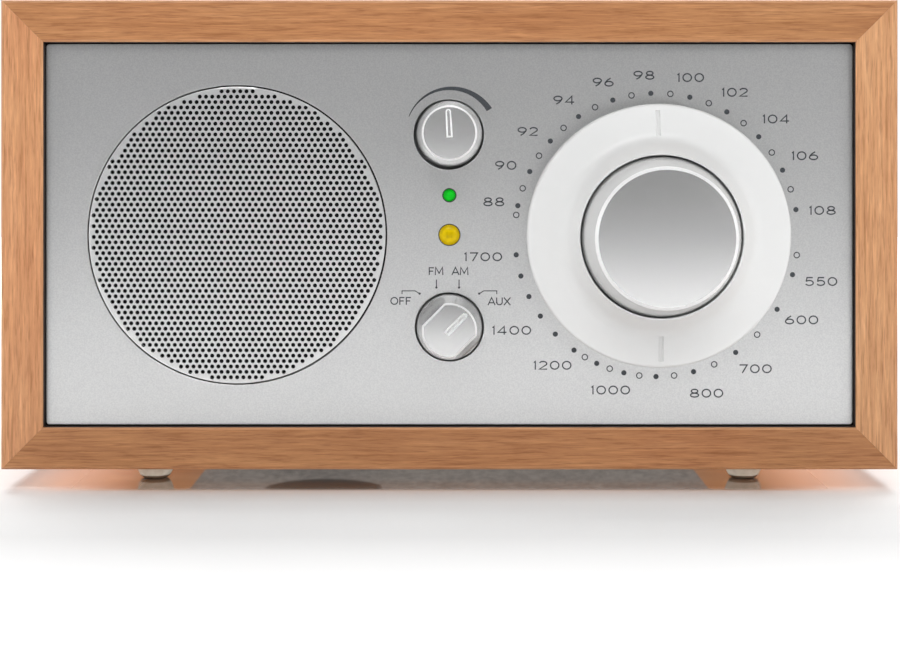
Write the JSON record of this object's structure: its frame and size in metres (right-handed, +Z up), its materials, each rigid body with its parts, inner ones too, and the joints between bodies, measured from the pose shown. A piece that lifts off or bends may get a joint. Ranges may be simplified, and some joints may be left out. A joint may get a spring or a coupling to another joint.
{
  "type": "table radio",
  "caption": "Wooden table radio with a recessed silver front, a round perforated speaker grille, two small knobs, lamps and a large geared tuning dial.",
  "frame": {"origin": "under the middle of the radio, on the surface that its feet stand on", "axes": "+X to the right seen from the front, +Y to the rear, +Z up; the front faces -Y"},
  "size_m": [0.2126, 0.1334, 0.1165],
  "materials": {
    "cabinet_wood": "satin lacquered cherry",
    "inner_wood": "raw fibreboard",
    "panel_silver": "satin silver paint",
    "knob_silver": "satin silver paint",
    "dial_ivory": "satin pearl white",
    "rear_plastic": "fine moulded texture",
    "black_plastic": "satin",
    "foot_rubber": "translucent",
    "steel": "zinc plated",
    "black_steel": "black",
    "brass": "nickelled",
    "nickel": "nickel plated",
    "ferrite": "matt",
    "cone_paper": "pulp",
    "surround_rubber": "matt",
    "base_fibre": "pressed fibre",
    "coil_copper": "enamelled wire",
    "gear_plastic": "acetal",
    "vane_aluminium": "stamped",
    "board_green": "solder mask",
    "component_mix": "moulded",
    "winding_tape": "tape",
    "lamp_green": "clear tinted",
    "lamp_amber": "clear tinted"
  },
  "bodies": {
    "root": {"cabinet_top": "cabinet_wood", "cabinet_bottom": "cabinet_wood", "cabinet_left": "cabinet_wood", "cabinet_right": "cabinet_wood", "corner_blocks": "inner_wood", "front_baffle": "inner_wood", "front_panel": "panel_silver", "speaker_grille": "panel_silver", "bass_port_tube": "black_plastic", "base_plate": "base_fibre", "rear_panel": "rear_plastic", "rear_screws": "black_steel", "foot_front_left": "foot_rubber", "foot_front_right": "foot_rubber", "foot_rear_left": "foot_rubber", "foot_rear_right": "foot_rubber", "driver_basket": "steel", "driver_suspension": "surround_rubber", "driver_magnet": "ferrite", "driver_plates": "steel", "driver_screws": "black_steel", "control_bracket": "steel", "control_nuts": "nickel", "volume_pot": "steel", "mode_switch": "steel", "led_board": "board_green", "power_led": "lamp_green", "tuning_led": "lamp_amber", "gear_cover": "steel", "ring_gear": "gear_plastic", "drive_screws": "black_steel", "capacitor_frame": "steel", "capacitor_stator": "vane_aluminium", "main_pcb": "board_green", "pcb_components": "component_mix", "transformer_core": "steel", "transformer_coil": "winding_tape", "ferrite_antenna": "ferrite", "mains_inlet": "black_plastic", "dc_inlet": "black_plastic", "audio_jacks": "black_plastic", "fm_connector": "nickel", "antenna_switch": "steel"},
    "tuning": {"tuning_knob": "knob_silver", "sun_shaft": "brass"},
    "dial": {"planet_carrier": "steel", "carrier_plate": "steel", "dial_ring": "dial_ivory", "capacitor_rotor": "vane_aluminium"},
    "planet_1": {"planet_gear_1": "gear_plastic"},
    "planet_2": {"planet_gear_2": "gear_plastic"},
    "planet_3": {"planet_gear_3": "gear_plastic"},
    "volume": {"volume_shaft": "steel", "volume_knob": "knob_silver"},
    "mode": {"mode_shaft": "steel", "mode_knob": "knob_silver"},
    "cone": {"driver_cone": "cone_paper", "driver_dust_cap": "cone_paper", "driver_voice_coil": "coil_copper"},
    "lever": {"antenna_lever": "black_plastic"}
  },
  "joints": [
    {"name": "tuning_knob_turn", "type": "hinge", "parent": "root", "child": "tuning", "pos_m": [0.0494, -0.055, 0.06065], "axis": [0, 1, 0], "range_deg": [-410, 410]},
    {"name": "dial_ring_turn", "type": "hinge", "parent": "root", "child": "dial", "pos_m": [0.0494, -0.045, 0.06065], "axis": [0, 1, 0], "range_deg": [-82, 82]},
    {"name": "planet_1_spin", "type": "hinge", "parent": "dial", "child": "planet_1", "pos_m": [0.0494, -0.0347, 0.07115], "axis": [0, 1, 0], "range_deg": [-220, 220]},
    {"name": "planet_2_spin", "type": "hinge", "parent": "dial", "child": "planet_2", "pos_m": [0.04031, -0.0347, 0.0554], "axis": [0, 1, 0], "range_deg": [-220, 220]},
    {"name": "planet_3_spin", "type": "hinge", "parent": "dial", "child": "planet_3", "pos_m": [0.05849, -0.0347, 0.0554], "axis": [0, 1, 0], "range_deg": [-220, 220]},
    {"name": "volume_knob_turn", "type": "hinge", "parent": "root", "child": "volume", "pos_m": [0, -0.05, 0.0848], "axis": [0, 1, 0], "range_deg": [-140, 140]},
    {"name": "mode_knob_turn", "type": "hinge", "parent": "root", "child": "mode", "pos_m": [0, -0.05, 0.0387], "axis": [0, 1, 0], "range_deg": [-90, 0]},
    {"name": "cone_travel", "type": "slide", "parent": "root", "child": "cone", "axis": [0, 1, 0], "range_m": [-0.0015, 0.0015], "stiffness_N_per_m": 900, "deforming": ["driver_suspension"]},
    {"name": "antenna_switch_slide", "type": "slide", "parent": "root", "child": "lever", "axis": [1, 0, 0], "range_m": [0, 0.004]}
  ],
  "couplings": [
    {"joint": "dial_ring_turn", "follows": "tuning_knob_turn", "ratio": 0.2},
    {"joint": "planet_1_spin", "follows": "tuning_knob_turn", "ratio": -0.53333},
    {"joint": "planet_2_spin", "follows": "tuning_knob_turn", "ratio": -0.53333},
    {"joint": "planet_3_spin", "follows": "tuning_knob_turn", "ratio": -0.53333}
  ]
}
